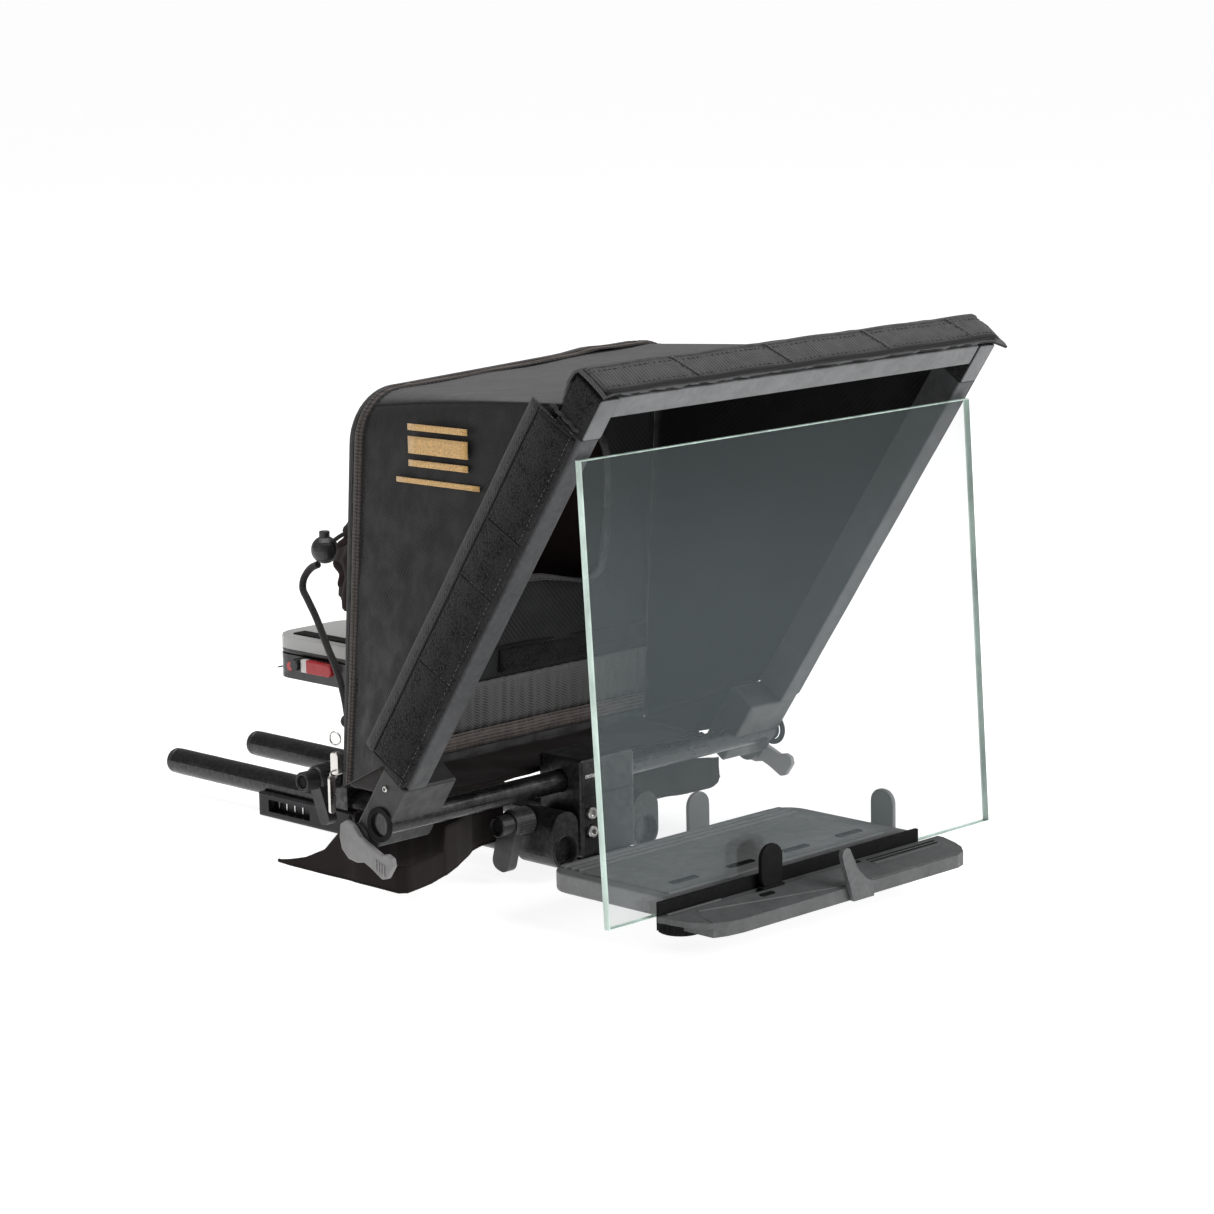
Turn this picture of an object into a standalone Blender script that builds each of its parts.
"""Hooded teleprompter on a pair of 15 mm rods, at rest, in metres. +Z is up and the talent sits towards -Y.

The origin is the tripod face under the base plate. Positions are worked out in rig coordinates: x across from
the middle, y behind the cross tube's axis and z above the rods' axes. Points on the folding frame are given
along the frame (u, up from the tube) and in front of it (n).
"""

import math

import bmesh
import bpy
from mathutils import Matrix, Vector

# Driving dimensions
BASE_Y = 0.173          # middle of the base plate, behind the cross tube
BASE_LOW = 0.017        # tripod face below the rods' axes
BUSHING_OFFSET = 0.022
ROD_RADIUS = 0.0075
ROD_SPACING = 0.060
ROD_FRONT = -0.0096
ROD_REAR = 0.315
TUBE_RADIUS = 0.006
TUBE_Z = 0.034
FRAME_LEAN = math.radians(34.5)
FRAME_HALF = 0.143
FRAME_TOP = 0.278
FRAME_FRONT = 0.005
FRAME_BACK = -0.014
RAIL_WIDTH = 0.012
PIVOT_TOP = 0.027
HOOD_HALF_FRONT = 0.1415
HOOD_HALF_REAR = 0.111
HOOD_REAR_TOP = (0.050, 0.246)
HOOD_REAR_LOW = (0.066, 0.038)
CLOTH = 0.0016
TRAY_HALF = 0.090
TRAY_REAR = -0.060
TRAY_SLOT = -0.1502
FRONT_TRAY_REAR = -0.1623
FRONT_TRAY_FRONT = -0.186
TRAY_TOP = 0.0103
GLASS_SIZE = (0.2834, 0.0040, 0.2240)
GLASS_FOOT = (-0.1567, 0.0072)
GLASS_LEAN = math.radians(3.3)
GAP = 0.0003
CLAMP_X = ROD_SPACING / 2
CLAMP_HALF = 0.0094
BORE = ROD_RADIUS + GAP
LEFT = -1
RIGHT = 1

PARTS = "teleprompter"
CUTTERS = "cutters"


def rig(x, y, z):
    """World position of a point given in rig coordinates."""
    return Vector((x, y - BASE_Y, z + BASE_LOW))


def on_frame(x, u, n):
    """World position of a point given along the frame and in front of it."""
    y = -u * math.sin(FRAME_LEAN) - n * math.cos(FRAME_LEAN)
    z = TUBE_Z + u * math.cos(FRAME_LEAN) - n * math.sin(FRAME_LEAN)
    return rig(x, y, z)


def clear_scene():
    for obj in list(bpy.data.objects):
        bpy.data.objects.remove(obj, do_unlink=True)
    for name in (PARTS, CUTTERS):
        made = bpy.data.collections.new(name)
        bpy.context.scene.collection.children.link(made)


def finish_of(name, colour, roughness, metallic, alpha=1.0):
    material = bpy.data.materials.new(name)
    material.use_nodes = True
    shader = material.node_tree.nodes["Principled BSDF"]
    shader.inputs["Base Color"].default_value = (*colour, 1.0)
    shader.inputs["Roughness"].default_value = roughness
    shader.inputs["Metallic"].default_value = metallic
    shader.inputs["Alpha"].default_value = alpha
    return material


FINISHES = {
    "black_metal": ((0.02, 0.02, 0.022), 0.35, 0.9),
    "black_plastic": ((0.025, 0.025, 0.028), 0.45, 0.0),
    "grey_plastic": ((0.10, 0.105, 0.11), 0.5, 0.0),
    "frame_grey": ((0.16, 0.165, 0.17), 0.45, 0.2),
    "tray_plastic": ((0.12, 0.125, 0.13), 0.55, 0.0),
    "hood_fabric": ((0.028, 0.029, 0.031), 0.9, 0.0),
    "strap_fabric": ((0.022, 0.022, 0.024), 0.95, 0.0),
    "skirt_fabric": ((0.035, 0.027, 0.026), 0.95, 0.0),
    "light_plastic": ((0.55, 0.56, 0.56), 0.4, 0.0),
    "red_plastic": ((0.55, 0.03, 0.03), 0.35, 0.0),
    "rubber": ((0.01, 0.01, 0.01), 0.8, 0.0),
    "steel": ((0.62, 0.62, 0.60), 0.3, 1.0),
    "brass": ((0.65, 0.5, 0.25), 0.35, 1.0),
    "glass": ((0.85, 0.9, 0.88), 0.02, 0.0),
}


def add(name, mesh, finish, is_cutter=False):
    """An object holding this mesh, as a part with its own material or as a cutter."""
    obj = bpy.data.objects.new(name, mesh)
    if is_cutter:
        bpy.data.collections[CUTTERS].objects.link(obj)
        obj.hide_render = True
        obj.display_type = "WIRE"
        return obj
    bpy.data.collections[PARTS].objects.link(obj)
    colour, roughness, metallic = FINISHES[finish]
    alpha = 0.3 if finish == "glass" else 1.0
    mesh.materials.append(finish_of(name, colour, roughness, metallic, alpha))
    return obj


def mesh_from(work, name):
    work.normal_update()
    bmesh.ops.recalc_face_normals(work, faces=work.faces)
    mesh = bpy.data.meshes.new(name)
    work.to_mesh(mesh)
    work.free()
    return mesh


def bevelled(obj, width, segments=2):
    if width:
        bevel = obj.modifiers.new("edges", "BEVEL")
        bevel.width = width
        bevel.segments = segments
        bevel.limit_method = "ANGLE"
        bevel.angle_limit = math.radians(40)
    return obj


def box(name, low, high, finish="black_plastic", bevel=0.0, is_cutter=False, place=rig):
    """A box between two corners given in the coordinates that place reads."""
    work = bmesh.new()
    bmesh.ops.create_cube(work, size=1.0)
    for corner in work.verts:
        along = [a + (b - a) * (c + 0.5) for a, b, c in zip(low, high, corner.co)]
        corner.co = place(*along)
    return bevelled(add(name, mesh_from(work, name), finish, is_cutter), bevel)


def cylinder(name, start, end, radius, finish="black_metal", sides=32, bevel=0.0, is_cutter=False,
             end_radius=None):
    """A round bar between two world points."""
    axis = end - start
    work = bmesh.new()
    bmesh.ops.create_cone(work, cap_ends=True, segments=sides, radius1=radius,
                          radius2=end_radius or radius, depth=axis.length)
    turn = axis.to_track_quat("Z", "Y").to_matrix().to_4x4()
    bmesh.ops.transform(work, matrix=Matrix.Translation((start + end) / 2) @ turn, verts=work.verts)
    return bevelled(add(name, mesh_from(work, name), finish, is_cutter), bevel)


def slab(name, outline, near, far, place, finish="black_plastic", bevel=0.0, is_cutter=False):
    """A flat outline carried straight from near to far, both read by place(a, b, depth)."""
    work = bmesh.new()
    ring = [work.verts.new(place(a, b, near)) for a, b in outline]
    face = work.faces.new(ring)
    grown = bmesh.ops.extrude_face_region(work, geom=[face])
    moved = [v for v in grown["geom"] if isinstance(v, bmesh.types.BMVert)]
    shift = place(0, 0, far) - place(0, 0, near)
    bmesh.ops.translate(work, verts=moved, vec=shift)
    return bevelled(add(name, mesh_from(work, name), finish, is_cutter), bevel)


def rounded(low, high, radius, steps=5):
    """The corner points of a rectangle with round corners."""
    corners = ((high[0], high[1], 0), (low[0], high[1], 90), (low[0], low[1], 180), (high[0], low[1], 270))
    points = []
    for x, y, start in corners:
        mid_x = x - math.copysign(radius, x - (low[0] + high[0]) / 2)
        mid_y = y - math.copysign(radius, y - (low[1] + high[1]) / 2)
        for k in range(steps + 1):
            angle = math.radians(start + 90 * k / steps)
            points.append((mid_x + radius * math.cos(angle), mid_y + radius * math.sin(angle)))
    return points


def cut(obj, cutter, operation="DIFFERENCE"):
    step = obj.modifiers.new(cutter.name, "BOOLEAN")
    step.operation = operation
    step.solver = "EXACT"
    step.object = cutter
    return obj


def cloth(name, rows, finish="hood_fabric", thickness=CLOTH, closed=False):
    """A sheet of cloth through rows of world points, given its thickness by Solidify."""
    work = bmesh.new()
    grid = [[work.verts.new(point) for point in row] for row in rows]
    for first, second in zip(grid, grid[1:]):
        count = len(first)
        for k in range(count if closed else count - 1):
            after = (k + 1) % count
            work.faces.new((first[k], first[after], second[after], second[k]))
    obj = add(name, mesh_from(work, name), finish)
    for face in obj.data.polygons:
        face.use_smooth = True
    skin = obj.modifiers.new("thickness", "SOLIDIFY")
    skin.thickness = thickness
    skin.offset = 0.0
    return obj


def smooth(obj):
    for face in obj.data.polygons:
        face.use_smooth = True
    return obj


def sided(word, side):
    return f"{word}_{'left' if side == LEFT else 'right'}"


# Base: what the tripod holds

def base_plate():
    half, rear, front, top = 0.041, 0.226, 0.120, -0.003
    plate = box("base_plate", (-half, front, -BASE_LOW), (half, rear, top), "black_metal", 0.001)
    for side in (LEFT, RIGHT):
        x = side * CLAMP_X
        groove = cylinder(sided("base_groove", side), rig(x, front - 0.01, 0), rig(x, rear + 0.01, 0), BORE,
                          is_cutter=True)
        pocket = box(sided("base_pocket", side), (side * (half - 0.006), 0.181, -0.0135),
                     (side * (half + 0.004), 0.217, -0.0065), is_cutter=True)
        cut(plate, groove)
        cut(plate, pocket)
    y = BASE_Y + BUSHING_OFFSET
    hole = cylinder("tripod_hole", rig(0, y, -0.025), rig(0, y, -0.009), 0.0065, is_cutter=True)
    cut(plate, hole)
    cylinder("tripod_bushing", rig(0, y, -BASE_LOW + 0.0005), rig(0, y, -0.0093), 0.0061, "brass", 24)


def rod_saddle(side):
    x, front, rear, low, top = side * CLAMP_X, 0.150, 0.174, -0.0027, 0.021
    outline = rounded((x - CLAMP_HALF, low - 0.012), (x + CLAMP_HALF, top), 0.0085)
    saddle = slab(sided("rod_saddle", side), outline, front, rear, lambda a, b, d: rig(a, d, b), "black_metal")
    below = box(sided("saddle_trim", side), (x - 0.02, front - 0.01, low - 0.03), (x + 0.02, rear + 0.01, low),
                is_cutter=True)
    bore = cylinder(sided("saddle_bore", side), rig(x, front - 0.01, 0), rig(x, rear + 0.01, 0), BORE,
                    is_cutter=True)
    cut(saddle, below)
    cut(saddle, bore)


def camera_adapter():
    box("camera_riser", (-0.017, 0.126, -0.0027), (0.017, 0.160, 0.0627), "black_metal", 0.0015)
    body = slab("adapter_base", rounded((-0.029, 0.118), (0.029, 0.222), 0.012), 0.063, 0.0767, rig,
                "black_plastic")
    channel = box("adapter_channel", (-0.0145, 0.10, 0.0725), (0.0145, 0.23, 0.080), is_cutter=True)
    button_hole = cylinder("button_hole", rig(-0.034, 0.2055, 0.0705), rig(-0.024, 0.2055, 0.0705), 0.0029,
                           is_cutter=True, sides=20)
    cut(body, channel)
    cut(body, button_hole)
    cylinder("lock_button", rig(-0.0312, 0.2055, 0.0705), rig(-0.0265, 0.2055, 0.0705), 0.0026, "red_plastic", 20)
    plate = slab("camera_plate", rounded((-0.029, 0.130), (0.029, 0.223), 0.014), 0.0771, 0.0875, rig,
                 "light_plastic", 0.0012)
    tongue = box("plate_tongue", (-0.0141, 0.140, 0.0729), (0.0141, 0.214, 0.080), is_cutter=True)
    seat = cylinder("screw_seat", rig(0, 0.172, 0.0865), rig(0, 0.172, 0.092), 0.0058, is_cutter=True, sides=24)
    cut(plate, tongue, "UNION")
    cut(plate, seat)
    cylinder("camera_screw", rig(0, 0.172, 0.0868), rig(0, 0.172, 0.0945), 0.0031, "steel", 20, 0.0004)
    lever = slab("plate_lever", rounded((0.167, 0.0690), (0.201, 0.0765), 0.0035, 4), -0.0339, -0.0298,
                 lambda a, b, d: rig(d, a, b), "red_plastic", 0.0008)
    tip = cylinder("lever_tip", rig(-0.0358, 0.1965, 0.0728), rig(-0.031, 0.1965, 0.0728), 0.0030,
                   is_cutter=True, sides=20)
    cut(lever, tip, "UNION")


def ratchet_lever(name, centre, outer, inner, arm_angle, arm_length, arm_width):
    """A clamp lever turning about X: a hub with a narrower outer end and an arm hanging from its middle."""
    y, z = centre
    hub = cylinder(name, rig(outer + 0.009, y, z), rig(inner, y, z), 0.0072, "black_plastic", 28, 0.0006)
    nose = cylinder(f"{name}_nose", rig(outer, y, z), rig(outer + 0.011, y, z), 0.0056, is_cutter=True, sides=28)
    socket = cylinder(f"{name}_socket", rig(outer - 0.002, y, z), rig(outer + 0.004, y, z), 0.0039,
                      is_cutter=True, sides=24)
    half = arm_width / 2
    outline = rounded((-half, -arm_length), (half, 0.003), half * 0.8)
    turn = math.radians(arm_angle)

    def hang(a, b, d):
        return rig(d, y + a * math.cos(turn) - b * math.sin(turn), z + a * math.sin(turn) + b * math.cos(turn))

    arm = slab(f"{name}_arm", outline, outer + 0.0075, outer + 0.0135, hang, is_cutter=True)
    cut(hub, nose, "UNION")
    cut(hub, arm, "UNION")
    cut(hub, socket)
    cylinder(f"{name}_screw", rig(outer + 0.0006, y, z), rig(outer + 0.0037, y, z), 0.0035, "steel", 6)


# Rods

def rod(side):
    x = side * CLAMP_X
    cylinder(sided("rod", side), rig(x, ROD_FRONT, 0), rig(x, ROD_REAR - 0.0043, 0), ROD_RADIUS, "black_metal")
    cylinder(sided("rod_plug", side), rig(x, ROD_REAR - 0.004, 0), rig(x, ROD_REAR, 0), ROD_RADIUS - 0.0002,
             "black_plastic", bevel=0.0010)


# Rig: the front bracket with the tray

def front_bracket():
    half, front, rear, low, top = 0.0197, -0.016, 0.016, -0.006, 0.047
    block = box("front_bracket", (-half, front, low), (half, rear, top), "black_metal", 0.0015)
    bore = cylinder("bracket_bore", rig(-0.05, 0, TUBE_Z), rig(0.05, 0, TUBE_Z), TUBE_RADIUS + GAP,
                    is_cutter=True, sides=40)
    cut(block, bore)
    for number, z in ((1, 0.018), (2, 0.008)):
        seat = cylinder(f"screw_seat_{number}", rig(-0.0135, front - 0.002, z), rig(-0.0135, front + 0.002, z),
                        0.0036, is_cutter=True, sides=20)
        cut(block, seat)
    cylinder("bracket_screw", rig(-0.0135, front + 0.0016, 0.018), rig(-0.0135, front - 0.0012, 0.018),
             0.0032, "steel", 20, 0.0004)


def front_clamp(side):
    x = side * CLAMP_X
    outline = rounded((x - CLAMP_HALF, -0.0095), (x + CLAMP_HALF, 0.021), 0.0090, 7)
    collar = slab(sided("front_clamp", side), outline, -0.014, 0.014, lambda a, b, d: rig(a, d, b), "black_metal")
    bore = cylinder(sided("clamp_bore", side), rig(x, -0.03, 0), rig(x, 0.03, 0), BORE, is_cutter=True)
    cut(collar, bore)


def cross_tube():
    reach = 0.1448
    cylinder("cross_tube", rig(-reach, 0, TUBE_Z), rig(reach, 0, TUBE_Z), TUBE_RADIUS, "black_metal", 32)


def tray_arm():
    side_view = ((0.014, -0.0124), (0.014, -0.0064), (-0.054, -0.0064), (-0.060, -0.0004), (-0.112, -0.0004),
                 (-0.112, -0.0050), (-0.098, -0.0124))
    slab("tray_arm", side_view, -0.019, 0.019, lambda a, b, d: rig(d, a, b), "black_metal", 0.0008)


def rear_tray():
    tray = slab("rear_tray", rounded((-TRAY_HALF, TRAY_SLOT - 0.02), (TRAY_HALF, TRAY_REAR), 0.015, 6), 0,
                TRAY_TOP, rig, "tray_plastic", 0.0010)
    end = box("tray_end", (-0.1, TRAY_SLOT - 0.05, -0.01), (0.1, TRAY_SLOT, 0.02), is_cutter=True)
    pocket = box("tray_pocket", (-0.0866, TRAY_SLOT - 0.01, 0.0018), (0.0866, -0.066, 0.0073), is_cutter=True)
    cut(tray, end)
    cut(tray, pocket)
    for number in range(3):
        y = -0.0655 - 0.0055 * number
        rib = box(f"tray_rib_{number}", (-0.082, y - 0.001, 0.009), (0.080, y + 0.001, 0.0114), is_cutter=True)
        cut(tray, rib, "UNION")
    pad = box("tray_deck", (-0.084, -0.142, 0.009), (0.076, -0.082, 0.0112), is_cutter=True, bevel=0.0006)
    cut(tray, pad, "UNION")


def front_tray():
    """The sliding front half: it slopes down to the front, thins out to a tip on the left, and has a black lip."""
    tongue = box("tray_tongue", (-0.086, -0.1700, 0.0022), (0.086, -0.072, 0.0054), "black_plastic")
    lip = box("tray_lip", (-0.111, -0.1618, 0.0030), (0.080, -0.1597, 0.0152), is_cutter=True)
    cut(tongue, lip, "UNION")
    rear, front = FRONT_TRAY_REAR, FRONT_TRAY_FRONT
    section = ((rear, 0.0087), (-0.1660, 0.0087), (front - 0.002, 0.0044), (front - 0.002, -0.0020), (rear, -0.0020))
    tray = slab("front_tray", section, -0.095, 0.100, lambda a, b, d: rig(d, a, b), "tray_plastic")
    wing_section = ((rear, 0.0087), (-0.1660, 0.0087), (-0.1840, 0.0048), (-0.1840, 0.0020), (-0.1660, 0.0058),
                    (rear, 0.0058))
    wing = slab("tray_wing", wing_section, -0.120, -0.080, lambda a, b, d: rig(d, a, b), is_cutter=True)
    cut(tray, wing, "UNION")
    plan = ((-0.113, rear + 0.01), (-0.113, -0.1640), (-0.1105, -0.1690), (-0.105, -0.1755), (-0.097, -0.1810),
            (-0.088, -0.1846), (-0.078, front), (0.083, front), (0.0895, -0.1840), (0.0935, -0.1795), (0.095, -0.1740),
            (0.095, rear + 0.01))
    outline = slab("tray_outline", plan, -0.02, 0.03, rig, is_cutter=True)
    cut(tray, outline, "INTERSECT")
    slot = box("tongue_slot", (-0.0864, -0.1704, 0.0018), (0.0864, -0.15, 0.0058), is_cutter=True)
    groove = box("finger_groove", (-0.066, -0.1670, 0.0072), (0.030, -0.1634, 0.02), is_cutter=True)
    cut(tray, slot)
    cut(tray, groove)


def tray_knob():
    x, y = -0.076, -0.1420
    knob = cylinder("tray_knob", rig(x, y, -0.0098), rig(x, y, -0.0012), 0.0115, "rubber", 24, 0.0012)
    stud = cylinder("knob_stud", rig(x, y, -0.003), rig(x, y, 0.0014), 0.0026, is_cutter=True, sides=16)
    cut(knob, stud, "UNION")
    hole = cylinder("stud_hole", rig(x, y, -0.004), rig(x, y, 0.0030), 0.0031, is_cutter=True, sides=16)
    cut(bpy.data.objects["rear_tray"], hole)


def finger(name, across, depth, heights, place, finish):
    """An upright tab with a round top, standing on its own slider."""
    middle, width = across, 0.0155
    outline = rounded((middle - width / 2, heights[0]), (middle + width / 2, heights[1]), 0.0072, 6)
    slab(name, outline, depth[0], depth[1], place, finish, 0.0005)


def fingers():
    def facing(a, b, d):
        return rig(a, d, b)

    def sideways(a, b, d):
        return rig(d, a, b)

    finger("finger_rear", 0.024, (-0.0596, -0.0570), (0.001, 0.0290), facing, "black_plastic")
    finger("finger_side", -0.128, (0.0904, 0.0930), (0.001, 0.0290), sideways, "black_plastic")
    finger("finger_front_left", -0.036, (-0.1664, -0.1640), (0.0076, 0.0305), facing, "rubber")
    fin = ((-0.0010, -0.0020), (-0.0085, 0.0190), (-0.0094, 0.0228), (-0.0086, 0.0252), (-0.0062, 0.0264),
           (-0.0038, 0.0254), (-0.0022, 0.0224), (0.0022, 0.0140), (0.0085, 0.0080), (0.0140, 0.0056),
           (0.0140, -0.0020))
    slab("finger_front_right", fin, -0.1890, -0.1864, facing, "tray_plastic")


def glass():
    width, thick, height = GLASS_SIZE
    foot_y, foot_z = GLASS_FOOT

    def leaning(x, d, h):
        y = foot_y + d * math.cos(GLASS_LEAN) + h * math.sin(GLASS_LEAN)
        z = foot_z + h * math.cos(GLASS_LEAN) - d * math.sin(GLASS_LEAN)
        return rig(x, y, z)

    box("glass", (-width / 2, -thick / 2, 0), (width / 2, thick / 2, height), "glass", 0.0004, place=leaning)


# Frame that leans over the tray

def frame_rail(name, low, high):
    box(name, low, high, "frame_grey", 0.0008, place=on_frame)


def frame():
    corner = FRAME_TOP - 0.024
    inner = FRAME_HALF - RAIL_WIDTH
    frame_rail("frame_top_rail", (-inner + GAP, FRAME_TOP - 0.012, FRAME_BACK), (inner - GAP, FRAME_TOP, FRAME_FRONT))
    for side in (LEFT, RIGHT):
        near, far = sorted((side * FRAME_HALF, side * inner))
        frame_rail(sided("frame_rail", side), (near, PIVOT_TOP + GAP, FRAME_BACK), (far, corner - GAP, FRAME_FRONT))
        frame_rail(sided("frame_corner", side), (near, corner, FRAME_BACK), (far, FRAME_TOP, FRAME_FRONT))


def pivot_bracket(side):
    near, far = sorted((side * 0.145, side * 0.109))
    block = box(sided("pivot_bracket", side), (near, -0.013, FRAME_BACK), (far, PIVOT_TOP, FRAME_FRONT - 0.001),
                "grey_plastic", 0.0012, place=on_frame)
    ear = cylinder(sided("clip_ear", side), rig(side * 0.1422, 0.017, 0.023), rig(side * 0.1463, 0.017, 0.023),
                   0.0090, is_cutter=True, sides=28)
    bore = cylinder(sided("pivot_bore", side), rig(side * 0.10, 0, TUBE_Z), rig(side * 0.16, 0, TUBE_Z),
                    TUBE_RADIUS + GAP, is_cutter=True, sides=40)
    cut(block, ear, "UNION")
    cut(block, bore)
    bush = cylinder(sided("tube_bush", side), rig(side * 0.1453, 0, TUBE_Z), rig(side * 0.1464, 0, TUBE_Z), 0.0090,
                    "steel", 32)
    eye = cylinder(sided("bush_eye", side), rig(side * 0.14, 0, TUBE_Z), rig(side * 0.15, 0, TUBE_Z), 0.0062,
                   is_cutter=True, sides=32)
    cut(bush, eye)


def clip(side):
    """The swivel clip that holds the glass when it is folded into the frame."""
    outline = [(0.026, 0.018), (0.0275, 0.024), (0.0265, 0.031), (0.022, 0.0335), (0.0165, 0.0315), (0.012, 0.0265),
               (0.006, 0.0235), (-0.004, 0.0195), (-0.0085, 0.0205), (-0.0125, 0.0190), (-0.0135, 0.0150),
               (-0.0085, 0.0080), (-0.0045, 0.0070), (0.004, 0.0115), (0.009, 0.0135), (0.0145, 0.0125),
               (0.021, 0.0135)]
    slab(sided("clip", side), outline, side * 0.1466, side * 0.1496, lambda a, b, d: rig(d, a, b),
         "grey_plastic", 0.0006)


def strap(side):
    near, far = sorted((side * 0.1434, side * 0.1462))
    box(sided("strap", side), (near, PIVOT_TOP + 0.0006, -0.027), (far, 0.2525, 0.003), "strap_fabric", 0.0008,
        place=on_frame)


# Hood, sleeve and skirts

def hood_side(side):
    """The side panel between the frame's back and the narrower rear panel, twisting slightly."""
    rows = []
    steps = 6
    for i in range(steps + 1):
        along = i / steps
        row = []
        for j in range(steps + 1):
            up = j / steps
            front = on_frame(side * HOOD_HALF_FRONT, 0.028 + 0.232 * up, FRAME_BACK - 0.0015)
            rear_y = HOOD_REAR_LOW[0] + (HOOD_REAR_TOP[0] - HOOD_REAR_LOW[0]) * up
            rear_z = HOOD_REAR_LOW[1] + (HOOD_REAR_TOP[1] - HOOD_REAR_LOW[1]) * up
            row.append(front.lerp(rig(side * HOOD_HALF_REAR, rear_y, rear_z), along))
        rows.append(row)
    cloth(sided("hood", side), rows)


def hood_roof():
    """The roof from the rear panel forward and over the frame's top rail."""
    profile = ((0.0500, 0.2480), (0.0380, 0.2525), (0.0100, 0.2545), (-0.0500, 0.2585), (-0.1080, 0.2630),
               (-0.1330, 0.2730), (-0.1460, 0.2735), (-0.1560, 0.2680), (-0.1640, 0.2615))
    rows = []
    for y, z in profile:
        share = max(0.0, min(1.0, (HOOD_REAR_TOP[0] - y) / 0.18))
        half = HOOD_HALF_REAR - 0.002 + (0.1425 - HOOD_HALF_REAR + 0.002) * share
        rows.append([rig(half * k / 4, y, z) for k in range(-4, 5)])
    cloth("hood_roof", rows)


def window_outline(grow=0.0):
    """The lens window in the rear panel, as points (x, z)."""
    return rounded((-0.072 - grow, 0.126 - grow), (0.072 + grow, 0.212 + grow), 0.020 + grow, 7)


def hood_rear():
    half, low, top = HOOD_HALF_REAR - 0.0016, HOOD_REAR_LOW[1] + 0.001, HOOD_REAR_TOP[1] - 0.001
    slope = (HOOD_REAR_LOW[0] - HOOD_REAR_TOP[0]) / (HOOD_REAR_TOP[1] - HOOD_REAR_LOW[1])

    def panel(x, z):
        return rig(x, HOOD_REAR_TOP[0] + (HOOD_REAR_TOP[1] - z) * slope, z)

    outer = rounded((-half, low), (half, top), 0.006, 7)
    cloth("hood_rear", [[panel(x, z) for x, z in outer], [panel(x, z) for x, z in window_outline()]], closed=True)


def lens_sleeve():
    """The fabric cone round the lens, straight from the window back to the drawstring."""
    start = rounded((-0.076, 0.122), (0.076, 0.216), 0.024, 1)
    rows = []
    end_y, end_z, end_radius = 0.156, 0.131, 0.0310
    for t in (0, 1):
        row = []
        for k, (x, z) in enumerate(start):
            angle = math.radians(22.5 + 45 * k)
            end = (end_radius * math.cos(angle), end_z + end_radius * math.sin(angle))
            start_y = HOOD_REAR_TOP[0] + (HOOD_REAR_TOP[1] - z) * 0.0769 + 0.0030
            row.append(rig(x + (end[0] - x) * t, start_y + (end_y - start_y) * t, z + (end[1] - z) * t))
        rows.append(row)
    cloth("lens_sleeve", rows, "skirt_fabric", closed=True)


def skirt(side):
    """The loose cloth below the hood: a curtain behind and under the cross tube, with a wing on the left."""
    if side == LEFT:
        stations = (
            (0.140, 0.088, -0.0010, 0.0012), (0.140, 0.066, -0.0015, 0.0050), (0.140, 0.050, -0.0015, 0.0120),
            (0.140, 0.036, -0.0015, 0.0250), (0.140, 0.029, -0.0015, 0.0330), (0.140, 0.024, -0.0015, 0.0125),
            (0.140, 0.008, -0.0015, 0.0125), (0.140, -0.006, -0.0015, 0.0125), (0.137, -0.009, -0.0015, 0.0125),
            (0.118, -0.0055, -0.0010, 0.0125), (0.106, -0.0025, 0.0, 0.0125), (0.104, -0.002, 0.0, 0.0250),
            (0.092, 0.0025, 0.0010, 0.0255), (0.078, 0.0110, 0.0020, 0.0270), (0.070, 0.0160, 0.0030, 0.0340),
            (0.060, 0.0188, 0.0035, 0.0343), (0.044, 0.0188, 0.0038, 0.0343),
        )
    else:
        stations = (
            (0.1025, 0.0005, 0.0140, 0.0250), (0.1010, 0.0010, 0.0105, 0.0250), (0.0960, 0.0020, 0.0085, 0.0255),
            (0.084, 0.0070, 0.0070, 0.0265), (0.074, 0.0140, 0.0060, 0.0335), (0.060, 0.0188, 0.0045, 0.0343),
            (0.044, 0.0188, 0.0038, 0.0343),
        )
    rows = [[rig(side * x, y, low + (high - low) * k / 2) for k in range(3)] for x, y, low, high in stations]
    cloth(sided("skirt", side), rows, "skirt_fabric")


def hood_floor():
    """The cloth that closes the hood's underside, from the rear panel to the curtain."""
    rows = [[rig(x, y, 0.0362) for x in (-0.106, 0.0, 0.106)] for y in (0.0180, 0.0400, 0.0620)]
    cloth("hood_floor", rows, "skirt_fabric")


# Zip and drawcord

def zip_pieces():
    slider = slab("zip_slider", rounded((0.0655, 0.044), (0.0715, 0.056), 0.002, 3), -0.1168, -0.1128,
                  lambda a, b, d: rig(d, a, b), "steel", 0.0004)
    eye = cylinder("zip_eye", rig(-0.1156, 0.060, 0.0462), rig(-0.1156, 0.078, 0.0462), 0.0009, is_cutter=True,
                   sides=12)
    cut(slider, eye)
    pull = slab("zip_pull", rounded((-0.1210, 0.0240), (-0.1174, 0.0440), 0.0015, 3), 0.0672, 0.0690,
                lambda a, b, d: rig(a, d, b), "steel")
    return pull


CORD_ROUTE = ((-0.0300, 0.1790, 0.1315), (-0.0302, 0.1855, 0.1285), (-0.0310, 0.1905, 0.1225),
              (-0.0320, 0.1905, 0.1165), (-0.0330, 0.1860, 0.1120), (-0.0350, 0.1760, 0.1020),
              (-0.0385, 0.1640, 0.0890), (-0.0420, 0.1520, 0.0770), (-0.0460, 0.1420, 0.0650),
              (-0.0500, 0.1350, 0.0560))
CORD_RADIUS = 0.0021
BALL_CENTRE = (-0.030, 0.1727, 0.1405)
BALL_RADIUS = 0.0078


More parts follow.
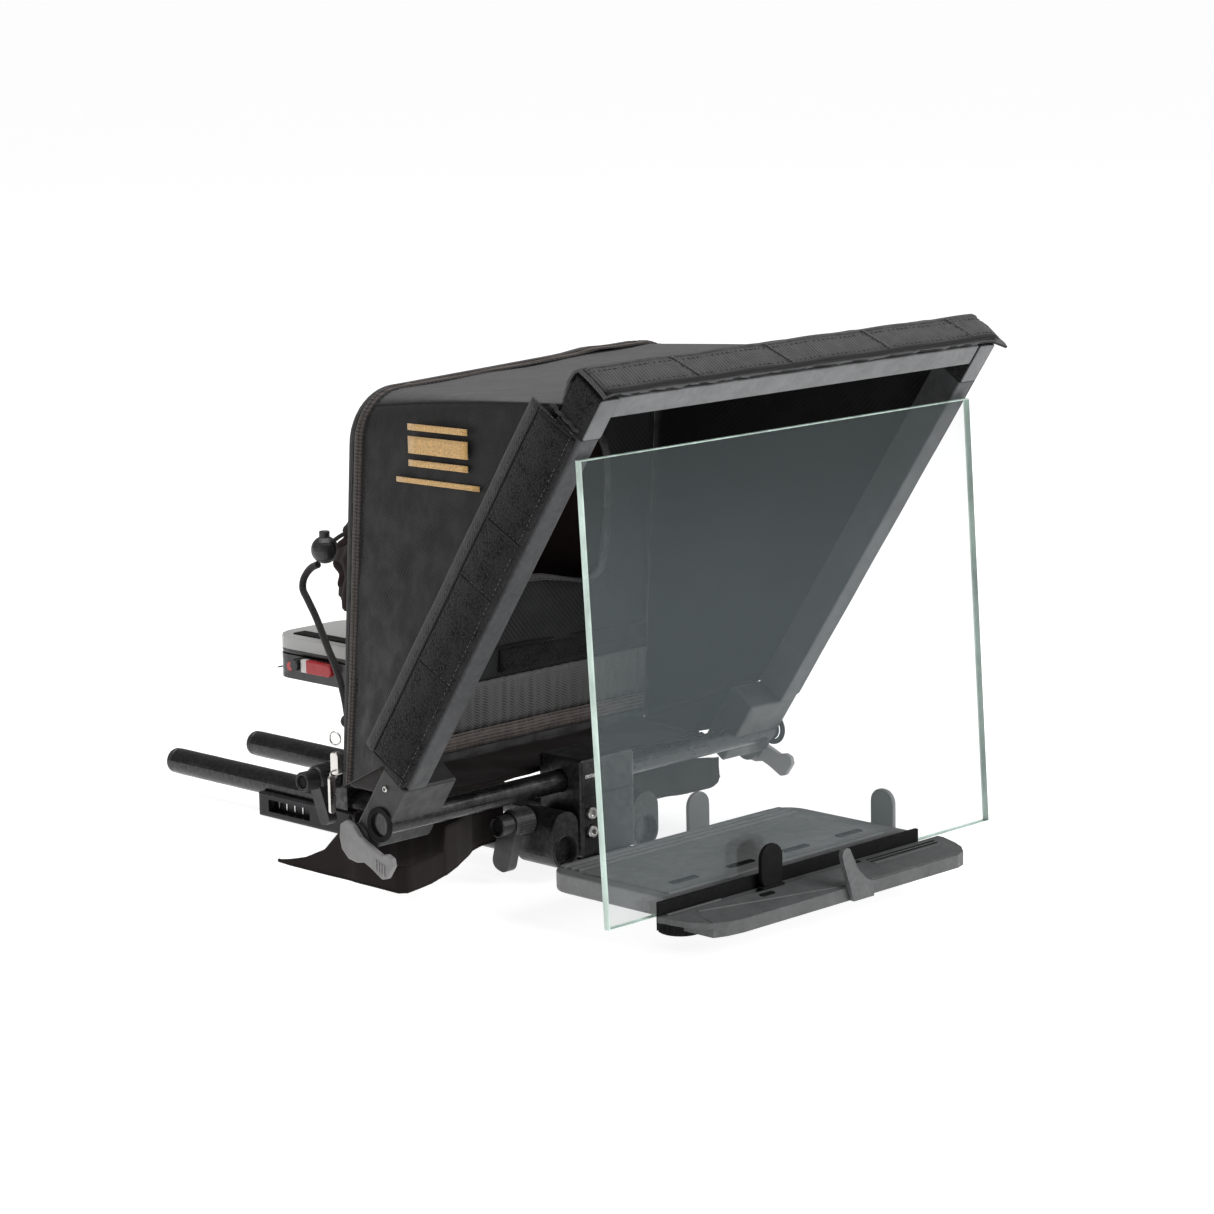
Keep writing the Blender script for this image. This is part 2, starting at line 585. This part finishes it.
def smooth_route(points, per_span):
    """Points on a Catmull-Rom curve through the route."""
    ends = [points[0], *points, points[-1]]
    found = []
    for a, b, c, d in zip(ends, ends[1:], ends[2:], ends[3:]):
        for k in range(per_span):
            t = k / per_span
            found.append(0.5 * (2 * b + (c - a) * t + (2 * a - 5 * b + 4 * c - d) * t * t
                                + (3 * b - a - 3 * c + d) * t ** 3))
    return found + [points[-1]]


def drawcord():
    route = smooth_route([rig(*point) for point in CORD_ROUTE], 2)
    curve = bpy.data.curves.new("drawcord", "CURVE")
    curve.dimensions = "3D"
    curve.bevel_depth = CORD_RADIUS
    curve.bevel_resolution = 2
    curve.use_fill_caps = True
    line = curve.splines.new("POLY")
    line.points.add(len(route) - 1)
    for spot, point in zip(line.points, route):
        spot.co = (*point, 1.0)
    add("drawcord", curve, "skirt_fabric")
    work = bmesh.new()
    bmesh.ops.create_uvsphere(work, u_segments=14, v_segments=8, radius=0.0042)
    last = rig(*CORD_ROUTE[-1])
    away = (last - rig(*CORD_ROUTE[-2])).normalized()
    bmesh.ops.translate(work, verts=work.verts, vec=last + away * 0.0046)
    smooth(add("cord_knot", mesh_from(work, "cord_knot"), "skirt_fabric"))


def cord_lock():
    centre = rig(*BALL_CENTRE)
    work = bmesh.new()
    bmesh.ops.create_uvsphere(work, u_segments=24, v_segments=14, radius=BALL_RADIUS)
    bmesh.ops.translate(work, verts=work.verts, vec=centre)
    ball = smooth(add("cord_lock", mesh_from(work, "cord_lock"), "black_plastic"))
    hole = cylinder("plunger_hole", centre, centre + Vector((0, 0, 0.02)), 0.0033, is_cutter=True, sides=20)
    cut(ball, hole)
    cylinder("cord_lock_button", centre + Vector((0, 0, 0.0035)), centre + Vector((0, 0, 0.0105)), 0.0030,
             "black_plastic", 20, 0.0005)


def main():
    clear_scene()
    base_plate()
    camera_adapter()
    ratchet_lever("rear_lever", (0.161, 0.0160), -0.0620, -0.0397, -22, 0.026, 0.0085)
    ratchet_lever("front_lever", (0.004, 0.0160), -0.0620, -0.0400, 16, 0.027, 0.0125)
    for side in (LEFT, RIGHT):
        rod_saddle(side)
        rod(side)
        front_clamp(side)
        pivot_bracket(side)
        clip(side)
        strap(side)
        hood_side(side)
        skirt(side)
    front_bracket()
    cross_tube()
    tray_arm()
    rear_tray()
    front_tray()
    tray_knob()
    fingers()
    glass()
    frame()
    hood_roof()
    hood_rear()
    hood_floor()
    lens_sleeve()
    zip_pieces()
    drawcord()
    cord_lock()


main()
